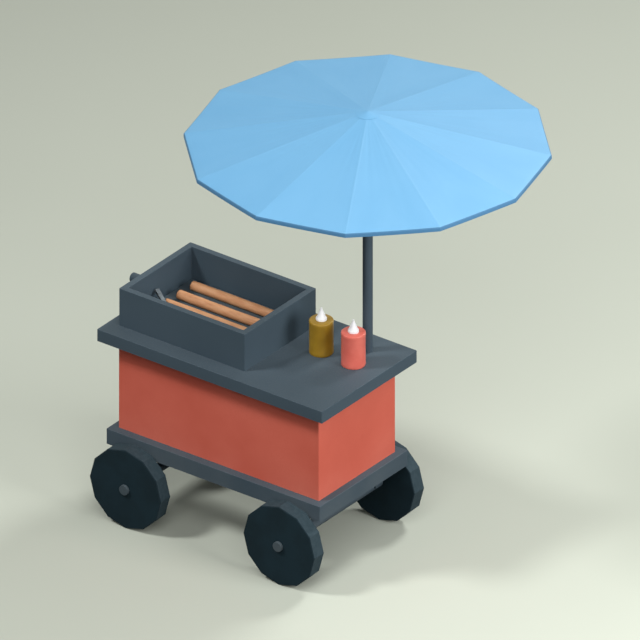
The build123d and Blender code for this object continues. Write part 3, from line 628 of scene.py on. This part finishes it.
def cover_panels():
    """The cover: two half panels on each rib, which meet at the rib and midway between ribs."""
    for number, joint in enumerate(PARASOL["ribs"]):
        for side, hand in ((-1, "a"), (1, "b")):
            half = HalfPanel(joint, side)
            outer, inner, flat = half.sheet()
            made = make_mesh(f"cover_{number + 1:02d}{hand}", *shell(outer, inner), crease=50)
            panel = (number + (1 if side > 0 else 0)) % len(PARASOL["ribs"])
            spots = [(along, across, panel) for column in flat for along, across in column]
            lay_cloth(made, spots + spots)
            # The hem attribute marks the rim fold and upright band, which the cloth darkens as painted shade.
            hem = made.data.attributes.new("hem", "FLOAT", "POINT")
            rows = [float(row > CLOTH_ROWS) for row in range(len(flat[0]))]
            hem.data.foreach_set("value", rows * (2 * len(flat)))
            dress(made, joint["child"], FINISH["canopy_cloth"], "canopy")
            axis, anchor, keep = half.fold(joint)
            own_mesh(made)


def rib_tapes():
    """A tape sewn under the cloth along each rib, which closes the seam when the parasol is folded."""
    lanes = [lane / TAPE_LANES for lane in range(-TAPE_LANES, TAPE_LANES + 1)]
    for number, joint in enumerate(PARASOL["ribs"]):
        halves = {side: HalfPanel(joint, side) for side in (-1, 1)}
        outer, inner, flat = [], [], []
        for step in range(TAPE_ROWS + 1):
            radius = TAPE_R0 + (TAPE_R1 - TAPE_R0) * step / TAPE_ROWS
            down = radius / PARASOL["radius"]
            row = []
            for lane in lanes:
                half = halves[1 if lane > 0 else -1]
                across = half.tangent.dot(half.middle - half.corner) * half.side
                share = abs(lane) * TAPE_HALF_W / (across * down)
                row.append(half.at(down, share) - UP * (CLOTH_T + TAPE_GAP))
            outer.append(row)
            inner.append([point - UP * TAPE_T for point in row])
            flat.append([(radius, abs(lane) * TAPE_HALF_W, number) for lane in lanes])
        made = make_mesh(f"rib_tape_{number + 1:02d}", *shell(outer, inner))
        spots = [spot for row in flat for spot in row]
        lay_cloth(made, spots + spots)
        dress(made, joint["child"], FINISH["canopy_cloth"])


def crown_patch():
    """The round patch sewn over the ends of the panels at the crown."""
    fall = (PARASOL["apex"] - PARASOL["rim"]) / PARASOL["radius"]
    radii = [PATCH_R * ring / PATCH_RINGS for ring in range(PATCH_RINGS + 1)]
    top = [(radius, PATCH_LIFT + PATCH_T - fall * radius) for radius in radii]
    under = [(radius, height - PATCH_T) for radius, height in reversed(top)]
    centre = PARASOL["axis"] + UP * PARASOL["apex"]
    made = make_mesh("crown_patch", *lathe(top + under, centre, sides=PATCH_SIDES), crease=50)
    spots = [vertex.co - centre for vertex in made.data.vertices]
    lay_cloth(made, [(spot.x + PATCH_R, spot.y + 2 * PATCH_R, 0) for spot in spots])
    dress(made, "mast", FINISH["canopy_cloth"])


# Food and bottles

def sausages():
    """Three cooked sausages with puckered ends, a slight bow and uneven girth."""
    low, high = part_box("sausages")
    radius = (high.z - low.z) / 2
    pitch = (high.y - low.y - 2 * radius) / 2
    half = (high.x - low.x) / 2
    for number, bow in enumerate(SAUSAGE_BOWS):
        middle = Vector(((low.x + high.x) / 2, low.y + radius + pitch * number, low.z))
        rings = [[middle + Vector((POLE_INSET - half, 0, radius))]]
        for step in range(SAUSAGE_RINGS + 1):
            swing = -cos(pi * step / SAUSAGE_RINGS)
            reach = (half - END_INSET) * swing
            past = max(0.0, (abs(reach) - (half - SAUSAGE_CAP)) / SAUSAGE_CAP)
            uneven = 1 - GIRTH_WAVE * (1 - sin(GIRTH_WAVES * swing + 2 * number))
            girth = max(radius * (1 - past ** CAP_POWER) ** 0.5 * uneven, END_R)
            aside = bow * (1 - swing ** 2)
            ring = []
            for side in range(SAUSAGE_SIDES):
                angle = 2 * pi * side / SAUSAGE_SIDES
                fold = girth - PUCKER * past ** 2 * cos(PUCKERS * angle + number)
                spot = Vector((reach, aside + fold * cos(angle), girth + fold * sin(angle)))
                ring.append(middle + spot)
            if past > 0:
                for spot in ring:
                    spot.z += (radius - girth) * past
            rings.append(ring)
        rings.append([middle + Vector((half - POLE_INSET, 0, radius))])
        made = make_mesh(f"sausage_{number + 1}", *loft(rings), crease=70)
        dress(made, "griddle", FINISH["sausage"], "sausages")


def bottle(sauce):
    """A squeeze bottle with a recessed base, a shallow waist, rounded shoulders and a screw neck."""
    low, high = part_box(f"{sauce}_bottle")
    radius = (high.x - low.x) / 2
    top = high.z - low.z
    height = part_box(f"{sauce}_nozzle")[0].z - low.z - NOZZLE_GAP
    base = [(0, BASE_RISE), (radius - 11 * MM, BASE_RISE), (radius - 8 * MM, 0), (radius - 4 * MM, 0)]
    foot = [(radius - 1.2 * MM, 1.2 * MM), (radius, 4 * MM), (radius, FOOT_H)]
    waist = [(radius - WAIST_DEPTH, WAIST_START), (radius - WAIST_DEPTH, height - WAIST_START)]
    shoulder = [
        (radius, height - FOOT_H), (radius, height - 5 * MM), (radius - 0.8 * MM, height - 2.2 * MM),
        (radius - 2.4 * MM, height - 0.7 * MM), (radius - 5 * MM, height),
    ]
    neck = [
        (NECK_R + 2 * MM, height), (NECK_R, height), (NECK_R, top - 1 * MM), (NECK_R - 1 * MM, top),
        (0, top),
    ]
    profile = base + foot + waist + shoulder + neck
    middle = Vector(((low.x + high.x) / 2, (low.y + high.y) / 2, low.z))
    made = make_mesh(f"{sauce}_squeeze_bottle", *lathe(profile, middle), crease=35)
    dress(made, f"{sauce}_bottle", FINISH[f"{sauce}_plastic"], f"{sauce}_bottle")


def nozzle(sauce):
    """A cone nozzle with a knurled skirt, a bored tip and the thread's bore underneath."""
    low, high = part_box(f"{sauce}_nozzle")
    radius = (high.x - low.x) / 2
    height = high.z - low.z

    def knurl(angle, level):
        """How far the skirt's side is cut in, between its two rims."""
        inside = KNURL_START < level < SKIRT_H
        return -KNURL_DEPTH * (0.5 - 0.5 * cos(KNURLS * angle)) if inside else 0.0

    tip = [
        (0, height - TIP_BORE_H), (TIP_BORE_R, height - TIP_BORE_H), (TIP_BORE_R, height),
        (3.4 * MM, height), (4.0 * MM, height - 0.8 * MM),
    ]
    cone = [
        (4.2 * MM, height - 4 * MM), (9.4 * MM, height - 18 * MM), (15.4 * MM, height - 33 * MM),
        (20.6 * MM, SKIRT_H + 4.5 * MM),
    ]
    skirt = [
        (radius - 1.6 * MM, SKIRT_H + 1.2 * MM), (radius - 0.5 * MM, SKIRT_H + 0.1 * MM),
        (radius, SKIRT_H - 0.9 * MM), (radius, 1.5 * MM), (radius, 0.5 * MM), (radius - 0.5 * MM, 0),
    ]
    bore = [(THREAD_BORE_R, 0), (THREAD_BORE_R, THREAD_BORE_H), (0, THREAD_BORE_H)]
    profile = tip + cone + skirt + bore
    middle = Vector(((low.x + high.x) / 2, (low.y + high.y) / 2, low.z))
    made = make_mesh(f"{sauce}_cone_nozzle", *lathe(profile, middle, 4 * KNURLS, knurl), crease=35)
    dress(made, f"{sauce}_nozzle", FINISH["nozzle_plastic"], f"{sauce}_nozzle")


cover_panels()
rib_tapes()
crown_patch()
sausages()
for sauce in ("mustard", "ketchup"):
    bottle(sauce)
    nozzle(sauce)


# Stage, light and view

counter_low, counter_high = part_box("counter_top")
cart = Vector(((counter_low.x + counter_high.x) / 2, (counter_low.y + counter_high.y) / 2, 0))

FLOOR_SIZE = 60.0
FLOOR_FADE = (4.8, 9.5)
FLOOR_TONE = colour(190, 195, 182)
FLOOR_CLOUDS = colour(194, 199, 186)
FLOOR_BOUNCE = colour(50, 51, 48)
SKY_TONE = colour(205, 209, 198)
FILL = 0.05
LAMP_AIM = Vector((0.2, 0.0, 0.6))
# Each lamp's bearing and height in degrees, its distance, its width and its power.
LAMPS = {
    "lamp_left": (229, 51, 12.0, 2.2, 700.0),
    "lamp_front": (-53, 42, 8.0, 6.0, 300.0),
    "lamp_right": (0, 29, 6.0, 2.8, 205.0),
    "lamp_back": (80, 47, 9.0, 2.0, 410.0),
}


def seen_directly(tree):
    """1 for what the camera sees, also in a mirror or through glass, and 0 for light on its way."""
    path = add(tree, "LightPath")
    seen = calc(tree, "MAXIMUM", path.outputs["Is Camera Ray"], path.outputs["Is Glossy Ray"])
    return calc(tree, "MAXIMUM", seen, path.outputs["Is Transmission Ray"])


def stage():
    """A pale floor that takes the shadow, throws little light back up and hides nothing from below."""
    bpy.ops.mesh.primitive_plane_add(size=FLOOR_SIZE, location=(0, 0, 0))
    floor = bpy.context.object
    floor.name = "floor"
    made, tree, shader, place = start("floor_paint")
    tone = mixed(tree, noise(tree, place, 0.8, 2.0), FLOOR_TONE, FLOOR_CLOUDS)
    tone = mixed(tree, seen_directly(tree), FLOOR_BOUNCE, tone)
    away = add(tree, "VectorMath", {0: place}, operation="LENGTH").outputs["Value"]
    far = calc(tree, "MULTIPLY", spread(tree, away, *FLOOR_FADE), seen_directly(tree))
    wire(tree, shader, base_color=tone, roughness=0.9, specular_ior_level=0.05, emission_color=SKY_TONE,
         emission_strength=far)
    from_below = add(tree, "NewGeometry").outputs["Backfacing"]
    clear = add(tree, "BsdfTransparent").outputs[0]
    seen = add(tree, "MixShader", {0: from_below, 1: shader.outputs[0], 2: clear}).outputs[0]
    put(tree, tree.nodes["Material Output"].inputs["Surface"], seen)
    floor.data.materials.append(made)


def sky():
    """An even fill light, which the camera and mirrors see as a pale backdrop."""
    world = bpy.data.worlds.new("sky")
    bpy.context.scene.world = world
    world.use_nodes = True
    tree = world.node_tree
    strength = spread(tree, seen_directly(tree), 0.0, 1.0, FILL, 1.0)
    background = tree.nodes["Background"]
    put(tree, background.inputs["Color"], SKY_TONE)
    put(tree, background.inputs["Strength"], strength)


def lamps():
    """Large soft lamps around the cart, all above it."""
    for name, (bearing, height, distance, width, power) in LAMPS.items():
        level = cos(radians(height))
        toward = Vector((level * cos(radians(bearing)), level * sin(radians(bearing)), sin(radians(height))))
        lamp = bpy.data.lights.new(name, "AREA")
        lamp.energy = power
        lamp.shape = "DISK"
        lamp.size = width
        made = bpy.data.objects.new(name, lamp)
        made.location = cart + toward * distance
        made.rotation_mode = "QUATERNION"
        made.rotation_quaternion = (LAMP_AIM - toward * distance).to_track_quat("-Z", "Y")
        bpy.context.scene.collection.objects.link(made)


def camera():
    """The photograph's view."""
    right = Vector((cos(AZIMUTH), sin(AZIMUTH), 0))
    back = Vector((sin(AZIMUTH) * cos(ELEVATION), -cos(AZIMUTH) * cos(ELEVATION), sin(ELEVATION)))
    data = bpy.data.cameras.new("camera")
    data.type = "ORTHO"
    data.ortho_scale = VIEW_SIZE
    made = bpy.data.objects.new("camera", data)
    made.location = cart + right * AIM_RIGHT + back.cross(right) * AIM_UP + back * CAMERA_BACK
    made.rotation_mode = "QUATERNION"
    made.rotation_quaternion = (-back).to_track_quat("-Z", "Y")
    bpy.context.scene.collection.objects.link(made)
    bpy.context.scene.camera = made


stage()
sky()
lamps()
camera()
bpy.context.scene.view_settings.view_transform = "Standard"
